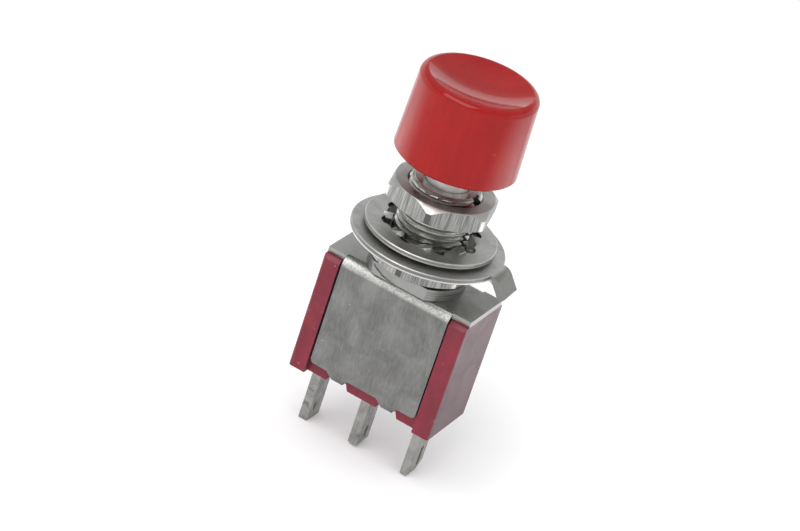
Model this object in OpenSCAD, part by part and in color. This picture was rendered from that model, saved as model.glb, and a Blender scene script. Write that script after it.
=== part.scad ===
// Momentary push-button switch with three solder lugs and a keyed, threaded panel bushing.
// +Z runs up the bushing, +X along the row of lugs, and -Y is the front.
// The origin is on the bushing's axis, at the top face of the sheet frame.

/* [Case] */
// Width of the moulded case, along the row of lugs
case_w = 13.2; // [13:0.1:15]
// Depth of the case, front to back
case_d = 6.6; // [6.5:0.1:8]
// Height of the case under the frame
case_h = 10.5; // [10.5:0.1:13]
// Thickness of the case's floor
floor_t = 1.8; // [1.7:0.1:2.2]
// Width of each corner pillar
pillar_w = 1.5; // [1.2:0.1:1.6]
// Depth of the recess that takes a wing of the frame
recess = 0.65; // [0.6:0.05:0.75]
// Wall between the cavity and that recess
wall = 0.75; // [0.6:0.05:0.8]
// Wall at each end of the cavity
end_wall = 1.1; // [1:0.05:1.2]

/* [Frame] */
// Thickness of the steel sheet
sheet = 0.5; // [0.4:0.05:0.55]
// Outside radius of the bend from the top plate to a wing
bend_r = 0.9; // [0.7:0.1:1.1]
// Height from the case's underside to the wings' lower edge
wing_lift = 1.1; // [1:0.1:1.5]
// Width of a claw at its root and at its tip
claw_root = 2; // [1.8:0.1:2.4]
claw_tip = 1; // [0.9:0.05:1.3]
// Reach of a claw under the case, from the wing's outer face
claw_reach = 1.3; // [1.1:0.1:1.5]

/* [Bushing] */
// Outside diameter of the thread
thread_d = 6; // [5.9:0.05:6.4]
// Height of the bushing above the frame
bushing_h = 8.5; // [8.2:0.1:10]
// Diameter of the base flange
flange_d = 8.1; // [7.6:0.1:8.6]
// Height of the base flange
flange_h = 1; // [0.8:0.1:1.4]
// Distance across the flange's two flats
flange_flats = 6.4; // [5.8:0.1:6.6]
// Width of the keyway
keyway_w = 1; // [0.8:0.1:1.2]
// Depth of the keyway
keyway_depth = 0.45; // [0.35:0.05:0.5]
// Diameter of the chamber that holds the return spring
chamber_d = 4.3; // [4.2:0.05:4.35]

/* [Nuts and washers] */
// Size of both nuts across the flats
nut_af = 8.1; // [7.8:0.1:10]
// Depth turned off each corner of the nuts
corner_cut = 0.1; // [0.04:0.01:0.15]
// Thickness of the lower nut and of the upper nut
nut_t = 2; // [1.6:0.1:2.2]
upper_nut_t = 1.65; // [1.5:0.05:2]
// Turn of the upper nut and of the lower nut about the bushing
upper_turn = -77; // [-90:1:-30]
lower_turn = -87; // [-90:1:-30]
// Outside diameter of the locking ring
ring_d = 12.6; // [12:0.1:14]
// Thickness of the locking ring
ring_t = 0.5; // [0.4:0.05:0.6]
// Width of the ring's bent tab
tab_w = 2.65; // [2:0.05:3]
// Length of the tab beyond the bend
tab_len = 1.35; // [1:0.05:2]
// Downward angle of the tab
tab_angle = 52; // [30:1:60]
// Outside diameter of the lock washer
lock_d = 10.8; // [10.4:0.1:11.4]
// Thickness of the lock washer
lock_t = 0.45; // [0.35:0.05:0.5]
// Number of internal teeth
teeth = 8; // [6:1:9]
// Twist of each tooth about its own length
tooth_twist = 22; // [15:1:25]

/* [Button] */
// Diameter of the cap at its open end
cap_d = 10; // [9.6:0.1:12]
// Diameter of the cap at its top
cap_top_d = 9.6; // [9.2:0.1:11.6]
// Height of the cap
cap_h = 6.9; // [6.6:0.1:8]
// Depth of the finger dish in the cap's top
dish = 0.85; // [0.5:0.05:1]
// Thickness of the cap's skirt
skirt_t = 0.8; // [0.7:0.05:1]
// Diameter of the plunger's shaft
shaft_d = 3.6; // [3.4:0.05:3.7]
// Travel of the button
travel = 1.8; // [1.6:0.05:1.9]

/* [Contacts] */
// Distance from the case's end to the middle of the outer lug
lug_inset = 1.9; // [1.8:0.05:2]
// Thickness of the left and centre lugs, and of the right one, which is pressed flatter
lug_t = 0.8; // [0.7:0.05:0.9]
flat_t = 0.6; // [0.5:0.05:0.8]
// Width of the left and centre lugs, and of the right one
lug_w = 2.05; // [1.9:0.05:2.2]
flat_w = 2.55; // [2.2:0.05:2.7]
// Length of a lug below the case
lug_len = 5.3; // [4.5:0.1:7]
// Width and length of the right lug's eye
eye_w = 0.5; // [0.4:0.05:0.6]
eye_len = 1.85; // [1.5:0.05:2]
// Tilt of the rocker to each side
rocker_tilt = 7; // [5:0.5:8]
// Swing of the lever to each side
lever_tilt = 11; // [9:0.5:12]

/* [Hidden] */
$fn = 64;
eps = 0.01;

// Clearances, each named for the two pieces that it parts
run = 0.03;          // a pin or shoulder that slides or turns in its bore
shaft_run = 0.05;    // the plunger's shaft in the bushing
thread_gap = 0.02;   // a nut's bore round the bushing
key_gap = 0.06;      // the ring's key in the keyway
seat_gap = 0.02;     // a moving piece at rest over its stop
tine_gap = 0.06;     // the lever's blade between the plunger's tines
tip_gap = 0.05;      // the tip over the rocker, where it passes the middle
slot_gap = 0.15;     // a wing's edge beside its pillar
lug_gap = 0.02;      // a lug in its slot through the case's floor

// Case and frame
pitch = case_w / 2 - lug_inset;
case_top = -sheet;
case_bot = case_top - case_h;
front = case_d / 2 - recess;
cavity_y = front - wall;
pocket_x = case_w / 2 - end_wall;
ledge = 0.25;
cavity_x = pocket_x - ledge;
floor_z = case_bot + floor_t;
plate_y = case_d / 2 - 0.55;
wing_y = front + sheet + 0.05;
wing_half = case_w / 2 - pillar_w - slot_gap;
wing_z = case_bot + wing_lift;
wing_corner = 0.4;
claw_z = case_bot + 0.35;
claw_bend = sheet + 0.1;
notch_side = 0.1;
edge_r = 0.25;
pillar_chamfer = 0.3;

// Lugs from left to right: each one's middle, thickness, back edge, loss of length, and its eye
lug_front = -1.1;
lug_x = [-pitch - 0.12, -0.1, pitch + 0.15];
lug_thick = [lug_t, lug_t, flat_t];
lug_back = [lug_front + lug_w, lug_front + lug_w, lug_front + flat_w];
lug_short = [0, 0.3, 0.1];
eye_wide = [0.7 * eye_w, 0.85 * eye_w, eye_w];
eye_long = [0.4 * eye_len, 0.6 * eye_len, eye_len];
eye_low = [0.8, 0.4, 0.4];
eye_y = [-0.35, 0.1, 0.6];

// Bushing
thread_r = thread_d / 2;
chamber_r = chamber_d / 2;
spigot_r = chamber_r + 0.3;
ear_r = spigot_r + 0.45;
ear_half = 1.8;
ear_t = 0.25;
shaft_r = shaft_d / 2;
shoulder_r = chamber_r - run - 0.02;
shoulder_t = 1;
chamber_top = bushing_h - 2.3;
shoulder_top = chamber_top - seat_gap;
rim_chamfer = 0.4;
runout_r = 3.45;
last_cut = 0.09;

// Stack on the bushing, from the flange up
lower_nut_z = flange_h;
ring_z = lower_nut_z + nut_t;
tooth_w = 1.5;
lock_lift = tooth_w / 2 * sin(tooth_twist) + 0.05;
lock_z = ring_z + ring_t + lock_lift;
upper_nut_z = lock_z + lock_t / 2 + lock_lift + 2;
lock_inner = thread_r + 0.12;
gap_r = 0.72;
gap_at = 3.42;
lock_first_gap = -50;
ring_turn = 3;
tab_bend = 0.5;

// Button
cap_z = bushing_h + travel + 0.3;
cap_top = cap_z + cap_h;
cap_edge = 0.6;
dish_r = cap_top_d / 2 - cap_edge;
cap_roof = 1;
skirt_depth = cap_h - dish - cap_roof - 1.1;
socket_r = shaft_r + 0.85;
socket_lift = 0.8;
shaft_top = cap_top - dish - cap_roof;

// Mechanism, worked out upwards from the floor
seal_t = 0.3;
foot_t = 0.5;
foot_in = 1.9;
contact_r = 0.7;
contact_t = 0.3;
button_r = 0.6;
button_t = 0.2;
contact_x = pitch - 1;
contact_top = floor_z + seal_t + foot_t + contact_t;
rocker_t = 0.35;
rocker_half = contact_x + button_r + 0.2;
rocker_w = 2;
rib_r = 0.3;
rocker_z = contact_top + seat_gap + (contact_x + button_r) * sin(rocker_tilt)
  + button_t * cos(rocker_tilt);
tip_end = rocker_z + rocker_t + tip_gap;
pivot_r = 0.35;
pin_r = 0.22;
drive_h = 3;
blade_t = 0.9;
blade_w = 0.8;
boss_r = 0.75;
barrel_top = -0.5;
bore_top = -0.6;
tip_spring_len = 0.6;
tip_show = 0.55;
tip_r = 0.42;
tip_wire = 0.1;
guide_t = 0.8;
guide_rise = 1.1;
pivot_drop = 2.4;
leg_half = 0.5;
guide_top = -sheet - ear_t - seat_gap;
guide_bot = guide_top - guide_t;
stem_r = 1.3;
tine_bottom_wall = 0.35;
pivot_z = guide_bot - pivot_drop;
tip_len = pivot_z - tip_end;
barrel_end = tip_show - tip_len;
tip_pin_top = bore_top - tip_spring_len;
cam_x = drive_h * sin(lever_tilt);
cam_z = pivot_z + drive_h * cos(lever_tilt);
cam_half = pin_r + tine_gap;
tine_end = cam_z - cam_half - tine_bottom_wall;
tine_top = pivot_z + drive_h + blade_w / 2 + travel + 0.15;
spring_seat = guide_top + guide_rise;
wire_d = 0.3;
spring_top = shoulder_top - shoulder_t;
pivot_half = cavity_y + 0.3;

module block(low, high) {
  translate(low) cube(high - low);
}

// A disc between two heights
module disc(r, z0, z1) {
  translate([0, 0, z0]) cylinder(r = r, h = z1 - z0);
}

// A round bar along Y, through the point x, z
module cross_bar(r, half, x, z) {
  translate([x, half, z]) rotate([90, 0, 0]) cylinder(r = r, h = 2 * half);
}

// A flat outline in X and Z, made solid along Y
module along_y(half) {
  translate([0, half, 0]) rotate([90, 0, 0]) linear_extrude(2 * half) children();
}

// A flat outline in Y and Z, made solid along X
module along_x(half) {
  translate([-half, 0, 0]) rotate([90, 0, 90]) linear_extrude(2 * half) children();
}

// Copies its children to both sides of the plane x = 0
module both_x() {
  children();
  mirror([1, 0, 0]) children();
}

module both_y() {
  children();
  mirror([0, 1, 0]) children();
}

// A rectangle with its top edge on the X axis and round upper corners
module arch(half, height, r) {
  translate([-half, -height]) square([2 * half, height - r]);
  translate([-half + r, -height]) square([2 * (half - r), height]);
  for (side = [-1, 1]) translate([side * (half - r), -r]) circle(r);
}

module round_rect(hx, hy, r) {
  square([2 * (hx - r), 2 * hy], center = true);
  square([2 * hx, 2 * (hy - r)], center = true);
  for (sx = [-1, 1], sy = [-1, 1]) translate([sx * (hx - r), sy * (hy - r)]) circle(r);
}

// Height along a coil of round wire: a closed turn at each end and even turns between
function coil_z(u, turns, length, wire) =
  let (n = u * turns, closed = wire * 1.1, open = (length - wire - 2 * closed) / (turns - 2))
    wire / 2 + min(n, 1) * closed + max(0, min(n - 1, turns - 2)) * open
      + max(0, n - turns + 1) * closed;

// A coil spring standing on z = 0
module coil(mean_r, wire, length, turns, steps, sides) {
  rings = turns * steps;
  points = [
    for (i = [0 : rings], k = [0 : sides - 1])
      let (a = 360 * i / steps, b = 360 * k / sides, r = mean_r + wire / 2 * cos(b))
        [r * cos(a), r * sin(a), coil_z(i / rings, turns, length, wire) + wire / 2 * sin(b)]
  ];
  walls = [
    for (i = [0 : rings - 1], k = [0 : sides - 1])
      let (n = (k + 1) % sides)
        [i * sides + k, i * sides + n, (i + 1) * sides + n, (i + 1) * sides + k]
  ];
  first = [for (k = [sides - 1 : -1 : 0]) k];
  last = [for (k = [0 : sides - 1]) rings * sides + k];
  polyhedron(points, concat([first], walls, [last]), convexity = 8);
}

// Hexagon nut: the wide chamfer on its top starts this far in from the flats, at this slope
module nut(height, inset, slope, mouth) {
  corner = nut_af / sqrt(3) - corner_cut;
  face_r = nut_af / 2 - inset;
  back_r = nut_af / 2;
  drop = (corner - face_r) * tan(slope);
  lift = (corner - back_r) * tan(30);
  difference() {
    intersection() {
      cylinder(r = nut_af / sqrt(3), h = height, $fn = 6);
      rotate_extrude()
        polygon([[0, 0], [back_r, 0], [corner, lift], [corner, height - drop], [face_r, height], [0, height]]);
    }
    disc(thread_r + thread_gap, -eps, height + eps);
    for (z = [0, height]) translate([0, 0, z]) mirror([0, 0, z > 0 ? 0 : 1])
      translate([0, 0, -mouth]) rotate_extrude()
        polygon([[0, 0], [thread_r, 0], [thread_r + mouth + eps, mouth + eps], [0, mouth + eps]]);
  }
}

module cap() {
  r0 = cap_d / 2;
  r1 = cap_top_d / 2;
  ball = (dish_r * dish_r + dish * dish) / (2 * dish);
  color("firebrick") difference() {
    translate([0, 0, cap_z]) rotate_extrude() union() {
      polygon([[0, 0], [r0 - 0.15, 0], [r0, 0.15], [r1, cap_h - cap_edge], [0, cap_h - cap_edge]]);
      square([r1 - cap_edge, cap_h]);
      translate([r1 - cap_edge, cap_h - cap_edge]) intersection() {
        circle(cap_edge);
        square(cap_edge);
      }
    }
    translate([0, 0, cap_top - dish + ball]) sphere(ball, $fn = 96);
    difference() {
      disc(r0 - skirt_t, cap_z - eps, cap_z + skirt_depth);
      disc(socket_r, cap_z + socket_lift, cap_z + skirt_depth + eps);
    }
    disc(shaft_r, cap_z - eps, shaft_top);
  }
}

module plunger() {
  color("gainsboro") difference() {
    union() {
      disc(shaft_r, spring_top, shaft_top);
      disc(shoulder_r, spring_top, shoulder_top);
      disc(stem_r, tine_end, spring_top + eps);
    }
    block([-stem_r - eps, -blade_t / 2 - tine_gap, tine_end - eps],
          [stem_r + eps, blade_t / 2 + tine_gap, tine_top]);
    cam_slot();
  }
}

// Slanted slot in which the lever's drive pin runs from one side to the other
module cam_slot() {
  length = norm([2 * cam_x, travel]);
  lean = atan2(-2 * cam_x, travel);
  cross_bar(cam_half, stem_r + eps, cam_x, cam_z);
  cross_bar(cam_half, stem_r + eps, -cam_x, cam_z + travel);
  translate([cam_x, 0, cam_z]) rotate([0, lean, 0])
    block([-cam_half, -stem_r - eps, 0], [cam_half, stem_r + eps, length]);
}

module return_spring() {
  color("silver") translate([0, 0, spring_seat])
    coil((stem_r + chamber_r) / 2, wire_d, spring_top - spring_seat, 7, 16, 6);
}

module bushing() {
  color("silver") difference() {
    union() {
      translate([0, 0, 0]) rotate_extrude()
        polygon([[0, 0], [thread_r, 0], [thread_r, bushing_h - rim_chamfer],
                 [thread_r - rim_chamfer, bushing_h], [0, bushing_h]]);
      flange();
      disc(spigot_r, -sheet, eps);
      intersection() {
        disc(ear_r, -sheet - ear_t, -sheet);
        block([-ear_r, -ear_half, -1], [ear_r, ear_half, 0]);
      }
    }
    disc(chamber_r, -sheet - ear_t - eps, chamber_top);
    disc(shaft_r + shaft_run, chamber_top - eps, bushing_h + eps);
    block([thread_r - keyway_depth, -keyway_w / 2, flange_h], [thread_r + 1, keyway_w / 2, bushing_h + eps]);
  }
}

// Round flange with two flats; the last light cut on the front one ends in the round of its cutter
module flange() {
  reach = flange_d;
  runout_x = -0.2;
  first_cut = flange_flats / 2 + last_cut;
  difference() {
    disc(flange_d / 2, 0, flange_h);
    block([-reach, flange_flats / 2, -eps], [reach, reach, flange_h + eps]);
    block([-reach, -reach, -eps], [reach, -first_cut, flange_h + eps]);
    intersection() {
      block([-reach, -reach, -eps], [reach, -flange_flats / 2, flange_h + eps]);
      union() {
        block([runout_x, -reach, -eps], [reach, 0, flange_h + eps]);
        cross_bar(runout_r, reach, runout_x, runout_r);
      }
    }
  }
}

module upper_nut() {
  color("lightgray") translate([0, 0, upper_nut_z]) rotate([0, 0, upper_turn])
    nut(upper_nut_t, 0, 42, 0.1);
}

module lower_nut() {
  color("lightgray") translate([0, 0, lower_nut_z + nut_t]) rotate([0, 0, lower_turn])
    mirror([0, 0, 1]) nut(nut_t, 0.4, 30, 0.2);
}

module lock_washer() {
  rim_in = gap_at + 0.33;
  tooth_end = rim_in + 0.15;
  edge = 0.07;
  half = lock_t / 2;
  pitch_a = 360 / teeth;
  color("lightgray") translate([0, 0, lock_z + half]) {
    difference() {
      rotate_extrude() polygon([
        [rim_in, -half], [lock_d / 2 - edge, -half], [lock_d / 2, -half + edge],
        [lock_d / 2, half - edge], [lock_d / 2 - edge, half], [rim_in, half]
      ]);
      for (i = [0 : teeth - 1]) rotate([0, 0, lock_first_gap + i * pitch_a])
        translate([gap_at, 0, 0]) disc(gap_r, -1, 1);
    }
    for (i = [0 : teeth - 1]) rotate([0, 0, lock_first_gap + (i + 0.5) * pitch_a])
      rotate([tooth_twist, 0, 0]) difference() {
        block([lock_inner, -tooth_w / 2, -half], [tooth_end, tooth_w / 2, half]);
        both_y() translate([lock_inner, tooth_w / 2, 0]) rotate([0, 0, 12])
          block([-1, 0, -1], [3, 1, 1]);
      }
  }
}

module locking_ring() {
  r = ring_d / 2;
  key_half = keyway_w / 2 - key_gap;
  bore_r = thread_r + 0.1;
  arc = [for (i = [0 : 6]) tab_angle * i / 6];
  bend_x = r - 0.1;
  inner = [for (a = arc) [bend_x + tab_bend * sin(a), tab_bend * cos(a) - tab_bend]];
  outer = [for (a = arc) [bend_x + (tab_bend + ring_t) * sin(a), (tab_bend + ring_t) * cos(a) - tab_bend]];
  end_in = inner[6] + tab_len * [cos(tab_angle), -sin(tab_angle)];
  end_out = outer[6] + tab_len * [cos(tab_angle), -sin(tab_angle)];
  color("silver") translate([0, 0, ring_z]) {
    difference() {
      rotate_extrude() polygon([
        [bore_r, 0], [r - 0.06, 0], [r, 0.06], [r, ring_t - 0.07], [r - 0.07, ring_t], [bore_r, ring_t]
      ]);
      disc(bore_r, -eps, ring_t + eps);
    }
    block([thread_r - keyway_depth + key_gap, -key_half, 0], [bore_r + 0.4, key_half, ring_t]);
    rotate([0, 0, ring_turn]) along_y(tab_w / 2)
      polygon(concat([[r - 1.2, 0]], inner, [end_in, end_out],
                     [for (i = [6 : -1 : 0]) outer[i]], [[r - 1.2, ring_t]]));
  }
}

module frame() {
  outline_y = wing_y + 1;
  color("darkgray") difference() {
    union() {
      intersection() {
        along_x(wing_half) difference() {
          arch(wing_y, -wing_z, bend_r);
          translate([0, -sheet]) arch(wing_y - sheet, case_h + sheet, bend_r - sheet);
        }
        along_y(outline_y) translate([0, wing_z]) mirror([0, 1]) arch(wing_half, case_h + 2, wing_corner);
      }
      both_x() block([wing_half - eps, -plate_y, -sheet], [case_w / 2, plate_y, 0]);
      both_y() both_x() claw();
    }
    disc(spigot_r, -sheet - eps, eps);
  }
}

// One claw: the wing's edge runs on down, then turns in under the case
module claw() {
  turn = claw_bend;
  root = wing_z + 0.1;
  neck = wing_z - 0.45;
  intersection() {
    along_x(case_w / 2) translate([-wing_y, 0]) {
      translate([0, claw_z + turn]) square([sheet, root - claw_z - turn]);
      translate([turn, claw_z + turn]) difference() {
        intersection() {
          circle(turn);
          translate([-turn, -turn]) square(turn);
        }
        circle(turn - sheet);
      }
      translate([turn - eps, claw_z]) square([claw_reach - turn, sheet]);
    }
    along_y(case_d) translate([pitch / 2, 0]) polygon([
      [-claw_root / 2, root], [-claw_root / 2, wing_z], [-claw_tip / 2, neck], [-claw_tip / 2, claw_z - 1],
      [claw_tip / 2, claw_z - 1], [claw_tip / 2, neck], [claw_root / 2, wing_z], [claw_root / 2, root]
    ]);
  }
}

module case() {
  top_pocket = guide_bot;
  color("brown") difference() {
    translate([0, 0, case_bot]) linear_extrude(case_h) round_rect(case_w / 2, case_d / 2, edge_r);
    both_y() block([-case_w / 2 + pillar_w, front, case_bot - eps], [case_w / 2 - pillar_w, case_d, 1]);
    block([-pocket_x, -cavity_y, top_pocket], [pocket_x, cavity_y, 1]);
    block([-cavity_x, -cavity_y, floor_z], [cavity_x, cavity_y, 1]);
    both_y() edge_chamfer(case_d / 2, pillar_chamfer, case_w);
    both_y() edge_chamfer(front, bend_r - sheet - 0.05, case_w / 2 - pillar_w);
    both_y() both_x() claw_notch();
    for (i = [0 : 2]) lug_section(i, case_bot - 1, 0, lug_gap);
    block([-pivot_r, -pivot_half, pivot_z], [pivot_r, pivot_half, 1]);
    cross_bar(pivot_r, pivot_half, 0, pivot_z);
  }
}

// Chamfer along the case's top edge; the inner one leaves room for the frame's bend
module edge_chamfer(y, c, half) {
  along_x(half) translate([y, case_top]) polygon([[-c - eps, eps], [eps, eps], [eps, -c - eps]]);
}

// Pocket in the underside, so that a claw stays above the case's lowest face
module claw_notch() {
  ceiling = claw_z + sheet;
  top_half = claw_tip / 2 + notch_side;
  low_half = claw_root / 2;
  depth = claw_reach + 0.15;
  intersection() {
    along_y(case_d) translate([pitch / 2, 0])
      polygon([[-low_half, case_bot - eps], [-top_half, ceiling], [top_half, ceiling], [low_half, case_bot - eps]]);
    block([0, wing_y - depth, case_bot - 1], [case_w, case_d, ceiling + 1]);
  }
}

// Straight bar of a lug between two heights, made larger by a gap where it is a slot
module lug_section(i, z0, z1, gap = 0) {
  half = lug_thick[i] / 2 + gap;
  block([lug_x[i] - half, lug_front - gap, z0], [lug_x[i] + half, lug_back[i] + gap, z1]);
}

// The part of a lug that stands below the case, with its eye
module lug_blade(i, top) {
  tip = case_bot - lug_len + lug_short[i];
  r = eye_wide[i] / 2;
  low = tip + eye_low[i] + r;
  high = tip + eye_low[i] + eye_long[i] - r;
  difference() {
    lug_section(i, tip, top);
    for (z = [low, high]) translate([lug_x[i] - lug_t, eye_y[i], z])
      rotate([0, 90, 0]) cylinder(r = r, h = 2 * lug_t);
    block([lug_x[i] - lug_t, eye_y[i] - r, low], [lug_x[i] + lug_t, eye_y[i] + r, high]);
  }
}

// Inner end of an outer lug: folded over flat to carry a fixed contact
module lug_foot(side) {
  foot_z = floor_z + seal_t;
  mirror([side < 0 ? 1 : 0, 0, 0])
    block([pitch - foot_in, lug_front, foot_z], [pitch, lug_front + lug_w, foot_z + foot_t]);
}

module fixed_contact(side) {
  color("whitesmoke") translate([side * contact_x, 0, 0]) disc(contact_r, contact_top - contact_t, contact_top);
}

module lug_left() {
  color("silver") union() {
    lug_blade(0, floor_z + seal_t + foot_t);
    lug_foot(-1);
  }
}

// The right lug has lost the back corner of its tip
module lug_right() {
  cut = 0.65;
  color("silver") difference() {
    union() {
      lug_blade(2, floor_z + seal_t + foot_t);
      lug_foot(1);
    }
    translate([pitch - lug_t, lug_back[2], case_bot - lug_len + lug_short[2]]) rotate([-52, 0, 0])
      block([0, -cut * sin(52), -lug_w], [2 * lug_t, lug_w, lug_w]);
  }
}

// Centre lug: its top is the fulcrum, grooved for the rocker's rib
module lug_centre() {
  color("silver") difference() {
    lug_blade(1, rocker_z - 0.12);
    cross_bar(rib_r + run, lug_w, 0, rocker_z);
  }
}

module contact_left() {
  fixed_contact(-1);
}

module contact_right() {
  fixed_contact(1);
}

// Sets its children at the rocker's fulcrum, leaning to the left
module on_fulcrum() {
  translate([0, 0, rocker_z]) rotate([0, -rocker_tilt, 0]) children();
}

module rocker() {
  color("goldenrod") on_fulcrum() union() {
    block([-rocker_half, -rocker_w / 2, 0], [rocker_half, rocker_w / 2, rocker_t]);
    intersection() {
      cross_bar(rib_r, rocker_w / 2, 0, 0);
      block([-1, -rocker_w, -1], [1, rocker_w, rocker_t]);
    }
  }
}

module rocker_contacts() {
  color("whitesmoke") on_fulcrum() both_x() translate([contact_x, 0, 0]) disc(button_r, -button_t, 0);
}

// Sets its children at the lever's pivot, leaning to its rest side
module on_pivot() {
  translate([0, 0, pivot_z]) rotate([0, lever_tilt, 0]) children();
}

module lever() {
  color("dimgray") on_pivot() difference() {
    union() {
      block([-blade_w / 2, -blade_t / 2, 0], [blade_w / 2, blade_t / 2, drive_h]);
      cross_bar(blade_w / 2, blade_t / 2, 0, drive_h);
      cross_bar(boss_r, blade_t / 2, 0, 0);
      disc(boss_r, barrel_end, barrel_top);
    }
    cross_bar(pivot_r + run, boss_r + 1, 0, 0);
    cross_bar(pin_r, boss_r + 1, 0, drive_h);
    disc(tip_r + run, barrel_end - eps, bore_top);
  }
}

module drive_pin() {
  color("silver") on_pivot() cross_bar(pin_r, stem_r - 0.3, 0, drive_h);
}

module pivot_pin() {
  color("silver") cross_bar(pivot_r, pivot_half, 0, pivot_z);
}

module tip_pin() {
  color("gainsboro") on_pivot() {
    disc(tip_r, -tip_len + tip_r, tip_pin_top);
    translate([0, 0, -tip_len + tip_r]) sphere(tip_r);
  }
}

module tip_spring() {
  color("silver") on_pivot() translate([0, 0, tip_pin_top])
    coil(tip_r - tip_wire / 2 - 0.02, tip_wire, tip_spring_len, 4, 12, 5);
}

// Moulded plate that closes the case, guides the stem and holds down the pivot pin
module guide_plate() {
  hole_r = stem_r + shaft_run;
  x = pocket_x - run;
  y = cavity_y - run;
  leg_in = hole_r + 0.07;
  rim_x = ear_r + 0.15;
  color("dimgray") difference() {
    union() {
      block([-x, -y, guide_bot], [x, y, guide_top]);
      both_x() block([rim_x, -y, guide_bot], [x, y, case_top - seat_gap]);
      disc(min(y, chamber_r - run), guide_bot, spring_seat);
      both_y() block([-leg_half, leg_in, pivot_z + pivot_r + seat_gap], [leg_half, y, guide_bot + eps]);
    }
    disc(hole_r, guide_bot - 5, spring_seat + eps);
  }
}

// Resin poured round the lugs on the case's floor
module terminal_seal() {
  color("saddlebrown") difference() {
    block([-cavity_x, -cavity_y, floor_z], [cavity_x, cavity_y, floor_z + seal_t]);
    for (i = [0 : 2]) lug_section(i, floor_z - 1, 0);
  }
}

cap();
plunger();
return_spring();
bushing();
upper_nut();
lock_washer();
locking_ring();
lower_nut();
frame();
case();
guide_plate();
lever();
drive_pin();
pivot_pin();
tip_spring();
tip_pin();
rocker();
rocker_contacts();
contact_left();
contact_right();
lug_left();
lug_centre();
lug_right();
terminal_seal();
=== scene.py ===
from math import atan, pi, radians, tan

import bmesh
import bpy
from mathutils import Matrix, Vector


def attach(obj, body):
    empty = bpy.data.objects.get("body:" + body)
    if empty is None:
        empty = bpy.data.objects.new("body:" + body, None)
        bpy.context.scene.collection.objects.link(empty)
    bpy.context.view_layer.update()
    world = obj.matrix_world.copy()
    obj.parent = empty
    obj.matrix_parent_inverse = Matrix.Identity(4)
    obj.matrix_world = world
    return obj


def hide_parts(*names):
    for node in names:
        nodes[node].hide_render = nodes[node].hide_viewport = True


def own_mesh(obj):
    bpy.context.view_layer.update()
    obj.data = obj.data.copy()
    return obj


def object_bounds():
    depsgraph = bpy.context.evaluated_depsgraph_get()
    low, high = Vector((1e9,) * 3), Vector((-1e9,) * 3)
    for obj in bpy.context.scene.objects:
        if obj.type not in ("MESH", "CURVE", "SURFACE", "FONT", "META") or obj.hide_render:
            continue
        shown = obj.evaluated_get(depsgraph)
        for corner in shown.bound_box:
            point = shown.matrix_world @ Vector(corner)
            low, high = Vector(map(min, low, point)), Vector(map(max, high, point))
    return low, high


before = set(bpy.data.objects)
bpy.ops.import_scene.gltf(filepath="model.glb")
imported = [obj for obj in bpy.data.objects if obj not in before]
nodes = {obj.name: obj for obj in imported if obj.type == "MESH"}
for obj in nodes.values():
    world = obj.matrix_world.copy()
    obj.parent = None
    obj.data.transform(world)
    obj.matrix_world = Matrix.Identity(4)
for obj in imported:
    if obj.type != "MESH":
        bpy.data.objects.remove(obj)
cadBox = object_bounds()
mm = 0.001
print("frame loaded, parts:", len(nodes))


# Hex colours as a designer picks them, turned to linear light for the shaders
def linear(hexColour):
    channels = [int(hexColour[i:i + 2], 16) / 255 for i in (1, 3, 5)]
    channels = [c / 12.92 if c <= 0.04045 else ((c + 0.055) / 1.055) ** 2.4 for c in channels]
    return (*channels, 1.0)


# Adds one shader node; settings and links are keyed by a property, an input's name or its number
def addNode(tree, kind, settings=None, links=None):
    node = tree.nodes.new("ShaderNode" + kind)
    for key, value in (settings or {}).items():
        if isinstance(key, str) and key not in node.inputs:
            setattr(node, key, value)
        else:
            node.inputs[key].default_value = value
    for key, socket in (links or {}).items():
        tree.links.new(socket, node.inputs[key])
    return node


nickStrength = 0.45  # how far a nick hides the colour under it


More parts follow.
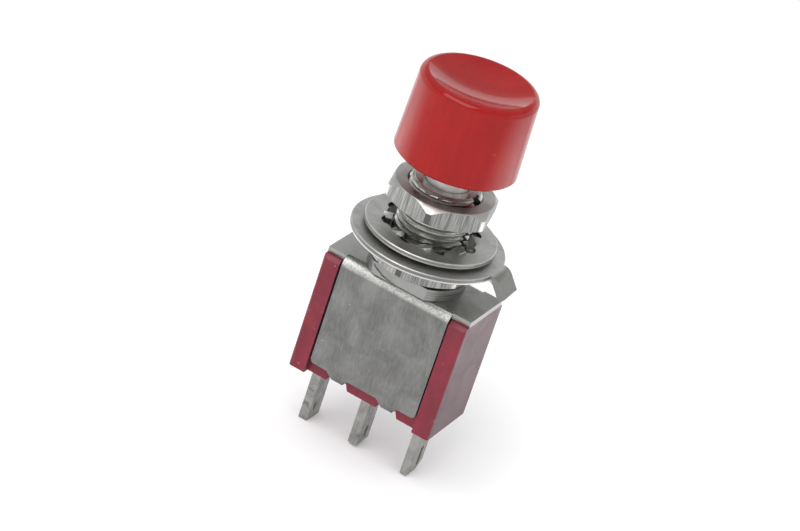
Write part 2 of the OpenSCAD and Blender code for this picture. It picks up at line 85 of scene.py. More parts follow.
# A surface of two tones: a fine grain and a slow cloud share the colour, and the grain lifts the skin.
# Small pale nicks may lie over them. Sizes are in millimetres. What it returns, a special finish adds to
def twoToneFinish(look):
    material = bpy.data.materials.new(look["name"])
    material.use_nodes = True
    tree = material.node_tree
    shader = tree.nodes["Principled BSDF"]
    shader.inputs["Metallic"].default_value = look.get("metallic", 1.0)
    if "ior" in look:
        shader.inputs["IOR"].default_value = look["ior"]
    shader.inputs["Specular IOR Level"].default_value = look.get("specular", 0.5)
    place = addNode(tree, "TexCoord")
    grainSize, cloudSize = look["grain"] * mm, look["cloud"] * mm
    along = look.get("along", (1, 1, 1))
    grainSpace = addNode(tree, "Mapping", {"Scale": [s / grainSize for s in along]},
                         {"Vector": place.outputs["Object"]})
    grain = addNode(tree, "TexNoise", {"Scale": 1.0, "Detail": 4.0, "Roughness": 0.6},
                    {"Vector": grainSpace.outputs["Vector"]})
    # shifted, so that the cloud and the grain don't start together
    cloudSpace = addNode(tree, "Mapping", {"Scale": [1 / cloudSize] * 3, "Location": (3, 7, 5)},
                         {"Vector": place.outputs["Object"]})
    cloud = addNode(tree, "TexNoise",
                    {"Scale": 1.0, "Detail": 4.0, "Roughness": 0.55, "Distortion": 0.5},
                    {"Vector": cloudSpace.outputs["Vector"]})
    share = look.get("grainShare", 0.4)
    fine = addNode(tree, "MapRange", {"From Min": 0.32, "From Max": 0.68, "To Max": share},
                   {"Value": grain.outputs["Fac"]})
    slow = addNode(tree, "MapRange", {"From Min": 0.35, "From Max": 0.65, "To Max": 1 - share},
                   {"Value": cloud.outputs["Fac"]})
    tone = addNode(tree, "Math", {"operation": "ADD"}, {0: fine.outputs[0], 1: slow.outputs[0]})
    colour = addNode(tree, "Mix",
                     {"data_type": "RGBA", 6: linear(look["dark"]), 7: linear(look["light"])},
                     {0: tone.outputs[0]})
    if "nickSpacing" in look:
        nickSpace = addNode(tree, "Mapping", {"Scale": [1 / (look["nickSpacing"] * mm)] * 3},
                            {"Vector": place.outputs["Object"]})
        nick = addNode(tree, "TexVoronoi", {"Scale": 1.0, "feature": "F1", "Randomness": 1.0},
                       {"Vector": nickSpace.outputs["Vector"]})
        reach = look["nickSize"] / look["nickSpacing"]
        speck = addNode(tree, "MapRange", {"From Min": 0.3 * reach, "From Max": 0.65 * reach,
                                           "To Min": nickStrength, "To Max": 0.0},
                        {"Value": nick.outputs["Distance"]})
        colour = addNode(tree, "Mix", {"data_type": "RGBA", 7: linear(look["nickColour"])},
                         {0: speck.outputs[0], 6: colour.outputs[2]})
    tree.links.new(colour.outputs[2], shader.inputs["Base Color"])
    rough = addNode(tree, "MapRange", {"To Min": look["rough"][1], "To Max": look["rough"][0]},
                    {"Value": tone.outputs[0]})
    tree.links.new(rough.outputs[0], shader.inputs["Roughness"])
    bump = addNode(tree, "Bump",
                   {"Distance": look["skin"] * mm, "Strength": look.get("skinStrength", 0.6)},
                   {"Height": grain.outputs["Fac"]})
    tree.links.new(bump.outputs[0], shader.inputs["Normal"])
    return {"material": material, "tree": tree, "shader": shader, "place": place, "cloud": cloud,
            "colour": colour, "rough": rough, "bump": bump}


# How far a point lies from the bushing's axis
def fromAxis(made):
    level = addNode(made["tree"], "VectorMath", {"operation": "MULTIPLY", 1: (1, 1, 0)},
                    {0: made["place"].outputs["Object"]})
    reach = addNode(made["tree"], "VectorMath", {"operation": "LENGTH"}, {0: level.outputs[0]})
    return reach.outputs["Value"]


# How level a face is: 0 on a wall and 1 on a top or an underside
def levelness(made):
    facing = addNode(made["tree"], "SeparateXYZ", links={"Vector": made["place"].outputs["Normal"]})
    level = addNode(made["tree"], "Math", {"operation": "ABSOLUTE"}, {0: facing.outputs["Z"]})
    return level.outputs[0]


# ABS, injection moulded and polished: an even strong red with a clear gloss, faint flow streaks
capLook = {"name": "polishedAbsCap", "metallic": 0.0, "ior": 1.54, "specular": 0.25,
           "dark": "#8A0806", "light": "#9F0C0A", "grain": 0.45, "along": (1, 1, 0.08), "cloud": 4.0,
           "grainShare": 0.5, "rough": (0.07, 0.14), "skin": 0.002, "skinStrength": 0.3,
           "nickSpacing": 2.4, "nickSize": 0.19, "nickColour": "#C2574F"}

# Diallyl phthalate, pressed in a steel mould: satin maroon with a very fine grain, greyed where rubbed;
# the two ends carry painted shade and a painted grey sheen
caseLook = {"name": "pressedResinCase", "metallic": 0.0, "ior": 1.57, "specular": 0.38,
            "dark": "#680F22", "light": "#82182F", "grain": 0.12, "cloud": 2.2, "grainShare": 0.35,
            "rough": (0.36, 0.48), "skin": 0.005,
            "rubSize": 1.1, "rubShare": 0.5, "rubColour": "#A06A70",
            "endShadeShare": (0.78, 0.95), "endShadeAndSheenColour": "#45353A",
            "nickSpacing": 1.2, "nickSize": 0.14, "nickColour": "#B98A90"}


def satinMaroon(look):
    made = twoToneFinish(look)
    tree, shader = made["tree"], made["shader"]
    space = addNode(tree, "Mapping", {"Scale": [1 / (look["rubSize"] * mm)] * 3, "Location": (11, 2, 4)},
                    {"Vector": made["place"].outputs["Object"]})
    rub = addNode(tree, "TexNoise", {"Scale": 1.0, "Detail": 8.0, "Roughness": 0.75},
                  {"Vector": space.outputs["Vector"]})
    worn = addNode(tree, "MapRange", {"From Min": 0.6, "From Max": 0.75, "To Max": look["rubShare"]},
                   {"Value": rub.outputs["Fac"]})
    # the two ends are painted dark grey, in patches: painted shade with a painted grey sheen
    facing = addNode(tree, "SeparateXYZ", links={"Vector": made["place"].outputs["Normal"]})
    across = addNode(tree, "Math", {"operation": "ABSOLUTE"}, {0: facing.outputs["X"]})
    end = addNode(tree, "MapRange", {"From Min": 0.9, "From Max": 0.99}, {"Value": across.outputs[0]})
    patchy = addNode(tree, "MapRange", {"From Min": 0.3, "From Max": 0.6, "To Min": look["endShadeShare"][1],
                                        "To Max": look["endShadeShare"][0]}, {"Value": rub.outputs["Fac"]})
    endShade = addNode(tree, "Math", {"operation": "MULTIPLY"}, {0: end.outputs[0], 1: patchy.outputs[0]})
    endShaded = addNode(tree, "Mix", {"data_type": "RGBA", 7: linear(look["endShadeAndSheenColour"])},
                     {0: endShade.outputs[0], 6: made["colour"].outputs[2]})
    colour = addNode(tree, "Mix", {"data_type": "RGBA", 7: linear(look["rubColour"])},
                     {0: worn.outputs[0], 6: endShaded.outputs[2]})
    tree.links.new(colour.outputs[2], shader.inputs["Base Color"])
    return made["material"]


# Tin plate on rolled steel: soft grey with smudges from handling; the bend is stretched to a peel,
# with a painted highlight on it, and the top plate is painted lighter than the wings
sheetLook = {"name": "tinnedSteelSheet", "dark": "#6C6C6A", "light": "#8A8A88", "grain": 0.09,
             "along": (1, 1, 0.16), "cloud": 1.9, "grainShare": 0.42, "rough": (0.36, 0.5),
             "skin": 0.003, "peelSize": 0.16, "peelDepth": 0.022,
             "bendFoot": -1.2, "bendHighlightColour": "#C8C8C4", "bendRough": 0.02,
             "topLitShare": 0.68, "topLitColour": "#B4B4B1",
             "rightEndFrom": 2.8, "rightEndTo": 4.3, "rightEndShare": (0.3, 0.95), "rightEndColour": "#6A6966",
             "cutFoot": -0.46, "cutShare": 0.9, "cutHighlightColour": "#A2A29F",
             "lineSize": 0.05, "lineShare": 0.5, "lineColour": "#B4B4B2",
             "nickSpacing": 1.7, "nickSize": 0.14, "nickColour": "#C8C8C5"}


def rolledSheet(look):
    made = twoToneFinish(look)
    tree, shader = made["tree"], made["shader"]
    facing = addNode(tree, "SeparateXYZ", links={"Vector": made["place"].outputs["Normal"]})
    # the bend is where the sheet lies between upright and level, high up
    lean = addNode(tree, "Math", {"operation": "ABSOLUTE"}, {0: facing.outputs["Z"]})
    upTo = addNode(tree, "MapRange", {"From Min": 0.05, "From Max": 0.35}, {"Value": lean.outputs[0]})
    downFrom = addNode(tree, "MapRange", {"From Min": 0.8, "From Max": 0.99, "To Min": 1.0, "To Max": 0.0},
                       {"Value": lean.outputs[0]})
    leaning = addNode(tree, "Math", {"operation": "MULTIPLY"}, {0: upTo.outputs[0], 1: downFrom.outputs[0]})
    spot = addNode(tree, "SeparateXYZ", links={"Vector": made["place"].outputs["Object"]})
    above = addNode(tree, "MapRange", {"From Min": (look["bendFoot"] - 0.2) * mm,
                                       "From Max": look["bendFoot"] * mm}, {"Value": spot.outputs["Z"]})
    bend = addNode(tree, "Math", {"operation": "MULTIPLY"}, {0: leaning.outputs[0], 1: above.outputs[0]})
    space = addNode(tree, "Mapping", {"Scale": [1 / (look["peelSize"] * mm)] * 3},
                    {"Vector": made["place"].outputs["Object"]})
    peel = addNode(tree, "TexNoise", {"Scale": 1.0, "Detail": 3.0, "Roughness": 0.7},
                   {"Vector": space.outputs["Vector"]})
    peelHeight = addNode(tree, "Math", {"operation": "MULTIPLY"},
                         {0: peel.outputs["Fac"], 1: bend.outputs[0]})
    peelBump = addNode(tree, "Bump", {"Distance": look["peelDepth"] * mm, "Strength": 0.9},
                       {"Height": peelHeight.outputs[0], "Normal": made["bump"].outputs[0]})
    tree.links.new(peelBump.outputs[0], shader.inputs["Normal"])
    # the bend is painted brighter there, in specks, as a painted highlight, and is a touch rougher
    speck = addNode(tree, "MapRange", {"From Min": 0.3, "From Max": 0.6, "To Min": 0.25},
                    {"Value": peel.outputs["Fac"]})
    bendHighlight = addNode(tree, "Math", {"operation": "MULTIPLY"}, {0: speck.outputs[0], 1: bend.outputs[0]})
    rough = addNode(tree, "Math", {"operation": "MULTIPLY_ADD", 1: look["bendRough"]},
                    {0: bend.outputs[0], 2: made["rough"].outputs[0]})
    tree.links.new(rough.outputs[0], shader.inputs["Roughness"])
    # the top plate is painted lighter than the wings: painted light for what its level face catches
    level = addNode(tree, "MapRange", {"From Min": 0.9, "From Max": 0.99, "To Max": look["topLitShare"]},
                    {"Value": facing.outputs["Z"]})
    litTop = addNode(tree, "Mix", {"data_type": "RGBA", 7: linear(look["topLitColour"])},
                      {0: level.outputs[0], 6: made["colour"].outputs[2]})
    # its right end is darker, in patches, on the level faces
    towardsRightEnd = addNode(tree, "MapRange", {"From Min": look["rightEndFrom"] * mm,
                                         "From Max": look["rightEndTo"] * mm}, {"Value": spot.outputs["X"]})
    patchy = addNode(tree, "MapRange", {"From Min": 0.38, "From Max": 0.62, "To Min": look["rightEndShare"][0],
                                        "To Max": look["rightEndShare"][1]},
                     {"Value": made["cloud"].outputs["Fac"]})
    rightEndPatches = addNode(tree, "Math", {"operation": "MULTIPLY"}, {0: towardsRightEnd.outputs[0], 1: patchy.outputs[0]})
    rightEndDarkening = addNode(tree, "Math", {"operation": "MULTIPLY"}, {0: rightEndPatches.outputs[0], 1: level.outputs[0]})
    rightEndDarkened = addNode(tree, "Mix", {"data_type": "RGBA", 7: linear(look["rightEndColour"])},
                      {0: rightEndDarkening.outputs[0], 6: litTop.outputs[2]})
    # the cut edge round the top plate is painted bright: bare steel with a painted highlight on it
    upright = addNode(tree, "MapRange", {"From Min": 0.05, "From Max": 0.2, "To Min": look["cutShare"],
                                         "To Max": 0.0}, {"Value": lean.outputs[0]})
    aboveCut = addNode(tree, "MapRange", {"From Min": (look["cutFoot"] - 0.02) * mm,
                                          "From Max": look["cutFoot"] * mm}, {"Value": spot.outputs["Z"]})
    cutEdge = addNode(tree, "Math", {"operation": "MULTIPLY"},
                      {0: upright.outputs[0], 1: aboveCut.outputs[0]})
    edged = addNode(tree, "Mix", {"data_type": "RGBA", 7: linear(look["cutHighlightColour"])},
                    {0: cutEdge.outputs[0], 6: rightEndDarkened.outputs[2]})
    bendHighlighted = addNode(tree, "Mix", {"data_type": "RGBA", 7: linear(look["bendHighlightColour"])},
                        {0: bendHighlight.outputs[0], 6: edged.outputs[2]})
    # hairlines left by handling, seen as pale strokes
    lineSpace = addNode(tree, "Mapping", {"Scale": [s / (look["lineSize"] * mm) for s in (1, 1, 0.02)],
                                          "Rotation": (0.4, 0.9, 0.2)},
                        {"Vector": made["place"].outputs["Object"]})
    lines = addNode(tree, "TexNoise", {"Scale": 1.0, "Detail": 1.0},
                    {"Vector": lineSpace.outputs["Vector"]})
    stroke = addNode(tree, "MapRange", {"From Min": 0.71, "From Max": 0.78, "To Max": look["lineShare"]},
                     {"Value": lines.outputs["Fac"]})
    colour = addNode(tree, "Mix", {"data_type": "RGBA", 7: linear(look["lineColour"])},
                     {0: stroke.outputs[0], 6: bendHighlighted.outputs[2]})
    tree.links.new(colour.outputs[2], shader.inputs["Base Color"])
    return made["material"]


# Nickel plate on brass hexagon bar: drawing marks and painted shade on the flats, the faced end is plain
nutLook = {"name": "nickelledHexagonBar", "dark": "#9C9C99", "light": "#B4B4B1", "grain": 0.1,
           "cloud": 1.4, "grainShare": 0.3, "rough": (0.28, 0.42), "skin": 0.004,
           "markSize": 0.07, "bandSize": 0.5, "bandShare": 0.25, "markDepth": 0.01,
           "markDark": "#626361", "markLight": "#ACACA9", "markRough": (0.34, 0.5),
           "cornerR": 4.55, "cornerShadeColour": "#5C5C5A", "cornerReach": 2.2, "cornerHighlightColour": "#CACAC7"}


def drawnNickel(look):
    made = twoToneFinish(look)
    tree, shader = made["tree"], made["shader"]
    # the flats take the drawing-mark tones, darker than the top: real marks with painted shade
    flat = addNode(tree, "MapRange", {"From Min": 0.15, "From Max": 0.4, "To Min": 1.0, "To Max": 0.0},
                   {"Value": levelness(made)})
    markSpace = addNode(tree, "Mapping", {"Scale": [s / (look["markSize"] * mm) for s in (1, 1, 0.03)]},
                        {"Vector": made["place"].outputs["Object"]})
    marks = addNode(tree, "TexNoise", {"Scale": 1.0, "Detail": 4.0, "Roughness": 0.7},
                    {"Vector": markSpace.outputs["Vector"]})
    bandSpace = addNode(tree, "Mapping", {"Scale": [s / (look["bandSize"] * mm) for s in (1, 1, 0.02)]},
                        {"Vector": made["place"].outputs["Object"]})
    bands = addNode(tree, "TexNoise", {"Scale": 1.0, "Detail": 2.0}, {"Vector": bandSpace.outputs["Vector"]})
    # fine marks count for more than the broad bands
    both = addNode(tree, "Math", {"operation": "MULTIPLY_ADD", 1: look["bandShare"]},
                   {0: bands.outputs["Fac"], 2: marks.outputs["Fac"]})
    stripe = addNode(tree, "MapRange", {"From Min": 0.46, "From Max": 0.78}, {"Value": both.outputs[0]})
    flatTone = addNode(tree, "Mix", {"data_type": "RGBA", 6: linear(look["markDark"]),
                                     7: linear(look["markLight"])}, {0: stripe.outputs[0]})
    # corners turned off in the lathe: painted shade on those near the middle,
    # a painted highlight on those at the sides
    corner = addNode(tree, "MapRange", {"From Min": (look["cornerR"] - 0.02) * mm,
                                        "From Max": look["cornerR"] * mm}, {"Value": fromAxis(made)})
    beside = addNode(tree, "SeparateXYZ", links={"Vector": made["place"].outputs["Object"]})
    far = addNode(tree, "Math", {"operation": "ABSOLUTE"}, {0: beside.outputs["X"]})
    highlitCorners = addNode(tree, "MapRange", {"From Min": look["cornerReach"] * mm,
                                       "From Max": (look["cornerReach"] + 0.3) * mm},
                    {"Value": far.outputs[0]})
    cornerLightAndShade = addNode(tree, "Mix", {"data_type": "RGBA", 6: linear(look["cornerShadeColour"]),
                                       7: linear(look["cornerHighlightColour"])}, {0: highlitCorners.outputs[0]})
    striped = addNode(tree, "Mix", {"data_type": "RGBA"},
                      {0: corner.outputs[0], 6: flatTone.outputs[2], 7: cornerLightAndShade.outputs[2]})
    colour = addNode(tree, "Mix", {"data_type": "RGBA"},
                     {0: flat.outputs[0], 6: made["colour"].outputs[2], 7: striped.outputs[2]})
    tree.links.new(colour.outputs[2], shader.inputs["Base Color"])
    markRough = addNode(tree, "MapRange", {"To Min": look["markRough"][1], "To Max": look["markRough"][0]},
                        {"Value": stripe.outputs[0]})
    rough = addNode(tree, "Mix", {"data_type": "FLOAT"},
                    {0: flat.outputs[0], 2: made["rough"].outputs[0], 3: markRough.outputs[0]})
    tree.links.new(rough.outputs[0], shader.inputs["Roughness"])
    height = addNode(tree, "Math", {"operation": "MULTIPLY"}, {0: marks.outputs["Fac"], 1: flat.outputs[0]})
    bump = addNode(tree, "Bump", {"Distance": look["markDepth"] * mm, "Strength": 0.9},
                   {"Height": height.outputs[0], "Normal": made["bump"].outputs[0]})
    tree.links.new(bump.outputs[0], shader.inputs["Normal"])
    return made["material"]


# Nickel plate on turned brass: bright crests, painted brown-grey shade in the roots of the thread
bushingLook = {"name": "nickelledTurnedBrass", "dark": "#A2A29F", "light": "#D2D2CE", "grain": 0.09,
               "along": (0.12, 0.12, 1), "cloud": 0.9, "grainShare": 0.35, "rough": (0.14, 0.28),
               "skin": 0.002, "edge": 0.05,
               "rootR": 2.7, "crestR": 2.86, "rootShadeColour": "#4A453D", "rootShadeShare": (0.2, 0.8), "rootRough": 0.4,
               "flangeTop": 1.0, "flangeColour": "#8E8E8C", "flangeShare": 0.85, "flangeRough": 0.22,
               "turnSize": 0.09, "turnColour": "#5E5E5B"}


def turnedNickel(look):
    made = twoToneFinish(look)
    tree, shader = made["tree"], made["shader"]
    reach = fromAxis(made)
    # the roots of the thread are painted darker, in patches: painted shade
    root = addNode(tree, "MapRange", {"From Min": look["rootR"] * mm, "From Max": look["crestR"] * mm,
                                      "To Min": 1.0, "To Max": 0.0}, {"Value": reach})
    # the bore inside the root radius stays free of the painted shade
    bore = addNode(tree, "MapRange", {"From Min": (look["rootR"] - 0.12) * mm,
                                      "From Max": (look["rootR"] - 0.06) * mm}, {"Value": reach})
    patchy = addNode(tree, "MapRange", {"From Min": 0.3, "From Max": 0.6, "To Min": look["rootShadeShare"][0],
                                        "To Max": look["rootShadeShare"][1]},
                     {"Value": made["cloud"].outputs["Fac"]})
    shadedRoots = addNode(tree, "Math", {"operation": "MULTIPLY"}, {0: root.outputs[0], 1: bore.outputs[0]})
    rootShade = addNode(tree, "Math", {"operation": "MULTIPLY"}, {0: shadedRoots.outputs[0], 1: patchy.outputs[0]})
    colour = addNode(tree, "Mix", {"data_type": "RGBA", 7: linear(look["rootShadeColour"])},
                     {0: rootShade.outputs[0], 6: made["colour"].outputs[2]})
    # the flange was left duller than the thread
    spot = addNode(tree, "SeparateXYZ", links={"Vector": made["place"].outputs["Object"]})
    flange = addNode(tree, "MapRange", {"From Min": look["flangeTop"] * mm,
                                        "From Max": (look["flangeTop"] + 0.02) * mm,
                                        "To Min": look["flangeShare"], "To Max": 0.0},
                     {"Value": spot.outputs["Z"]})
    # turning marks run round it, but not over the milled flats
    turnSpace = addNode(tree, "Mapping", {"Scale": [s / (look["turnSize"] * mm) for s in (0.03, 0.03, 1)]},
                        {"Vector": made["place"].outputs["Object"]})
    turned = addNode(tree, "TexNoise", {"Scale": 1.0, "Detail": 2.0, "Roughness": 0.6},
                     {"Vector": turnSpace.outputs["Vector"]})
    facing = addNode(tree, "SeparateXYZ", links={"Vector": made["place"].outputs["Normal"]})
    across = addNode(tree, "Math", {"operation": "ABSOLUTE"}, {0: facing.outputs["Y"]})
    roundPart = addNode(tree, "MapRange", {"From Min": 0.985, "From Max": 0.995, "To Min": 1.0,
                                           "To Max": 0.0}, {"Value": across.outputs[0]})
    score = addNode(tree, "MapRange", {"From Min": 0.45, "From Max": 0.6}, {"Value": turned.outputs["Fac"]})
    scored = addNode(tree, "Math", {"operation": "MULTIPLY"},
                     {0: roundPart.outputs[0], 1: score.outputs[0]})
    flangeTone = addNode(tree, "Mix", {"data_type": "RGBA", 6: linear(look["flangeColour"]),
                                       7: linear(look["turnColour"])}, {0: scored.outputs[0]})
    dulled = addNode(tree, "Mix", {"data_type": "RGBA"},
                     {0: flange.outputs[0], 6: colour.outputs[2], 7: flangeTone.outputs[2]})
    tree.links.new(dulled.outputs[2], shader.inputs["Base Color"])
    roughRoots = addNode(tree, "Math", {"operation": "MULTIPLY_ADD", 1: look["rootRough"]},
                          {0: rootShade.outputs[0], 2: made["rough"].outputs[0]})
    rough = addNode(tree, "Math", {"operation": "MULTIPLY_ADD", 1: look["flangeRough"]},
                    {0: flange.outputs[0], 2: roughRoots.outputs[0]})
    tree.links.new(rough.outputs[0], shader.inputs["Roughness"])
    return made["material"]


# Nickel on stamped spring steel, tumbled: soft shine on the faces, the sheared edge half dull, half bright
washerLook = {"dark": "#A0A09D", "light": "#BCBCB9", "grain": 0.1, "cloud": 1.5, "grainShare": 0.35,
              "rough": (0.28, 0.42), "skin": 0.004,
              "shearShare": 0.85, "tornColour": "#6E6E6B", "burnishColour": "#D0D0CD",
              "tabFromR": 6.32, "tabShadeColour": "#82827F"}
# height at which the punch's burnish, below, meets the torn metal above, for each washer
ringLook = {**washerLook, "name": "nickelledStampedRing", "shearAt": 3.17, "rough": (0.4, 0.54)}
lockLook = {**washerLook, "name": "nickelledStampedLockWasher", "shearAt": 4.0}


def stampedNickel(look):
    made = twoToneFinish(look)
    tree = made["tree"]
    sheared = addNode(tree, "MapRange", {"From Min": 0.08, "From Max": 0.3, "To Min": look["shearShare"],
                                         "To Max": 0.0}, {"Value": levelness(made)})
    spot = addNode(tree, "SeparateXYZ", links={"Vector": made["place"].outputs["Object"]})
    torn = addNode(tree, "MapRange", {"From Min": (look["shearAt"] - 0.02) * mm,
                                      "From Max": (look["shearAt"] + 0.02) * mm},
                   {"Value": spot.outputs["Z"]})
    edge = addNode(tree, "Mix", {"data_type": "RGBA", 6: linear(look["burnishColour"]),
                                 7: linear(look["tornColour"])}, {0: torn.outputs[0]})
    # the bent tab is painted darker than the disc: painted shade
    shadedTab = addNode(tree, "MapRange", {"From Min": look["tabFromR"] * mm,
                                     "From Max": (look["tabFromR"] + 0.3) * mm}, {"Value": fromAxis(made)})
    sides = addNode(tree, "Mix", {"data_type": "RGBA"},
                    {0: sheared.outputs[0], 6: made["colour"].outputs[2], 7: edge.outputs[2]})
    colour = addNode(tree, "Mix", {"data_type": "RGBA", 7: linear(look["tabShadeColour"])},
                     {0: shadedTab.outputs[0], 6: sides.outputs[2]})
    tree.links.new(colour.outputs[2], made["shader"].inputs["Base Color"])
    return made["material"]


# Silver on blanked brass, hand-tinned: grey, rather matt, with brown flux stains
lugLook = {"name": "silveredBrassLug", "dark": "#868683", "light": "#A9A9A6", "grain": 0.1,
           "along": (1, 1, 0.4), "cloud": 1.1, "grainShare": 0.4, "rough": (0.36, 0.5), "skin": 0.008,
           "stainSize": 0.8, "stainShare": 0.75, "stainColour": "#4B443C"}


def stainedSilver(look):
    made = twoToneFinish(look)
    tree = made["tree"]
    space = addNode(tree, "Mapping", {"Scale": [1 / (look["stainSize"] * mm)] * 3, "Location": (5, 1, 2)},
                    {"Vector": made["place"].outputs["Object"]})
    flux = addNode(tree, "TexNoise", {"Scale": 1.0, "Detail": 5.0, "Roughness": 0.65},
                   {"Vector": space.outputs["Vector"]})
    stain = addNode(tree, "MapRange", {"From Min": 0.58, "From Max": 0.7, "To Max": look["stainShare"]},
                    {"Value": flux.outputs["Fac"]})
    colour = addNode(tree, "Mix", {"data_type": "RGBA", 7: linear(look["stainColour"])},
                     {0: stain.outputs[0], 6: made["colour"].outputs[2]})
    tree.links.new(colour.outputs[2], made["shader"].inputs["Base Color"])
    return made["material"]


capRed = twoToneFinish(capLook)["material"]
caseMaroon = satinMaroon(caseLook)
sheetSteel = rolledSheet(sheetLook)
nutNickel = drawnNickel(nutLook)
bushingNickel = turnedNickel(bushingLook)
lockNickel = stampedNickel(lockLook)
ringNickel = stampedNickel(ringLook)
lugSilver = stainedSilver(lugLook)

# The rest take the two-tone finish as it is
plainLooks = {
    # stainless bar, ground: a clean mirror-like shaft, its grain round the axis
    "shaft": {"name": "groundStainlessShaft", "dark": "#C2BEBB", "light": "#DAD7D4", "grain": 0.12,
              "along": (0.3, 0.3, 1), "cloud": 1.2, "rough": (0.34, 0.46), "skin": 0.002},
    # spring wire, drawn: grey and slightly dull
    "wire": {"name": "drawnSpringWire", "dark": "#858582", "light": "#A6A6A3", "grain": 0.06,
             "cloud": 0.8, "rough": (0.26, 0.4), "skin": 0.002},
    # pins, drawn and cut: bright grey
    "pin": {"name": "drawnSteelPin", "dark": "#8F8F8C", "light": "#B2B2AF", "grain": 0.06,
            "cloud": 0.8, "rough": (0.2, 0.34), "skin": 0.002},
    # nylon, moulded: black with a fine dull skin
    "nylon": {"name": "mouldedBlackNylon", "metallic": 0.0, "ior": 1.53, "dark": "#161514",
              "light": "#242220", "grain": 0.1, "cloud": 1.0, "rough": (0.42, 0.58), "skin": 0.005},
    # zinc, die cast: grey, dull, pitted
    "zinc": {"name": "dieCastZinc", "dark": "#757573", "light": "#8E8E8B", "grain": 0.12,
             "cloud": 0.9, "rough": (0.4, 0.55), "skin": 0.01},
    # brass strip, stamped: yellow, a little tarnished
    "brass": {"name": "stampedBrassStrip", "dark": "#A17E38", "light": "#BF9C52", "grain": 0.09,
              "along": (0.3, 1, 1), "cloud": 1.0, "rough": (0.28, 0.4), "skin": 0.004},
    # fine silver, coined: nearly white, soft shine
    "silver": {"name": "coinedFineSilver", "dark": "#C8C6C0", "light": "#DEDCD7", "grain": 0.07,
               "cloud": 0.6, "rough": (0.26, 0.38), "skin": 0.003},
    # epoxy, poured and cured: dark brown with a wet gloss
    "resin": {"name": "pouredEpoxy", "metallic": 0.0, "ior": 1.55, "dark": "#34160F", "light": "#4A241A",
              "grain": 0.2, "cloud": 1.2, "rough": (0.2, 0.34), "skin": 0.008},
}
plain = {key: twoToneFinish(look)["material"] for key, look in plainLooks.items()}
print("finishes ready:", len(bpy.data.materials))


usualSmooth = 32  # degrees; faces that meet at less than this are shaded as one


# Turns a bmesh into a finished piece on its body, standing for the CAD part
def makePiece(name, mesh, look, nodeName, body="switch", smoothAngle=usualSmooth):
    data = bpy.data.meshes.new(name)
    mesh.to_mesh(data)
    mesh.free()
    data.polygons.foreach_set("use_smooth", [True] * len(data.polygons))
    data.set_sharp_from_angle(angle=radians(smoothAngle))
    data.materials.append(look)
    piece = bpy.data.objects.new(name, data)
    bpy.context.scene.collection.objects.link(piece)
    weighted = piece.modifiers.new("evenShading", "WEIGHTED_NORMAL")
    weighted.keep_sharp = True
    weighted.weight = 90  # large faces lead
    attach(piece, body)
    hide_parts(nodeName)
    return piece


mergeDistance = 0.0005 * mm
edgeAngle = 28  # degrees; a sharper edge than this gets broken


# A merged copy of a CAD part with its flat faces whole again
def wholeFaces(nodeName):
    mesh = bmesh.new()
    mesh.from_mesh(nodes[nodeName].data)
    bmesh.ops.remove_doubles(mesh, verts=mesh.verts, dist=mergeDistance)
    bmesh.ops.dissolve_limit(mesh, angle_limit=radians(0.4), verts=mesh.verts, edges=mesh.edges)
    return mesh


# Breaks the sharp outer edges, as tumbling or a worn mould does, or only those below a height
def breakEdges(mesh, width, below=None):
    sharp = [e for e in mesh.edges
             if len(e.link_faces) == 2 and e.is_convex and e.calc_face_angle() > radians(edgeAngle)
             and (below is None or max(v.co.z for v in e.verts) < below)]
    bmesh.ops.bevel(mesh, geom=sharp, offset=width * mm, offset_type="OFFSET", affect="EDGES",
                    segments=2, profile=0.5, material=-1, clamp_overlap=True)


# Threaded bushing: the CAD bushing with its V groove cut, to the nominal pitch and depth of a fine
# 6 mm thread, in millimetres and degrees
thread = {"pitch": 0.5, "rootR": 2.7, "outR": 3.06, "start": 1.2, "end": 8.9, "stepsPerTurn": 56,
          "rootFlat": 0.03, "sideAngle": 30}
groove = bmesh.new()
halfMouth = thread["rootFlat"] + (thread["outR"] - thread["rootR"]) * tan(radians(thread["sideAngle"]))
profile = [(thread["rootR"], -thread["rootFlat"]), (thread["outR"], -halfMouth),
           (thread["outR"], halfMouth), (thread["rootR"], thread["rootFlat"])]
corners = [groove.verts.new((r * mm, 0, (thread["start"] + z) * mm)) for r, z in profile]
section = groove.faces.new(corners)
turns = (thread["end"] - thread["start"]) / thread["pitch"]
steps = int(turns * thread["stepsPerTurn"])
bmesh.ops.spin(groove, geom=[section] + list(section.edges) + corners, cent=(0, 0, 0), axis=(0, 0, 1),
               dvec=(0, 0, thread["pitch"] * mm / thread["stepsPerTurn"]),
               angle=steps * 2 * pi / thread["stepsPerTurn"], steps=steps, use_duplicate=False)
bmesh.ops.recalc_face_normals(groove, faces=groove.faces)
grooveData = bpy.data.meshes.new("threadGroove")
groove.to_mesh(grooveData)
groove.free()
cutter = bpy.data.objects.new("threadGroove", grooveData)
bpy.context.scene.collection.objects.link(cutter)

mesh = wholeFaces("bushing")
breakEdges(mesh, bushingLook["edge"], below=(bushingLook["flangeTop"] + 0.05) * mm)
blankData = bpy.data.meshes.new("bushingBlank")
mesh.to_mesh(blankData)
mesh.free()
blank = bpy.data.objects.new("bushingBlank", blankData)
bpy.context.scene.collection.objects.link(blank)
cut = blank.modifiers.new("threadCut", "BOOLEAN")
cut.operation = "DIFFERENCE"
cut.solver = "EXACT"
cut.object = cutter
bpy.context.view_layer.update()
mesh = bmesh.new()
mesh.from_object(blank, bpy.context.evaluated_depsgraph_get())
bpy.data.objects.remove(blank)
bpy.data.objects.remove(cutter)
bmesh.ops.remove_doubles(mesh, verts=mesh.verts, dist=mergeDistance)
print("thread cut, turns: %.1f, faces: %d" % (turns, len(mesh.faces)))
makePiece("threadedBushing", mesh, bushingNickel, "bushing", smoothAngle=24)

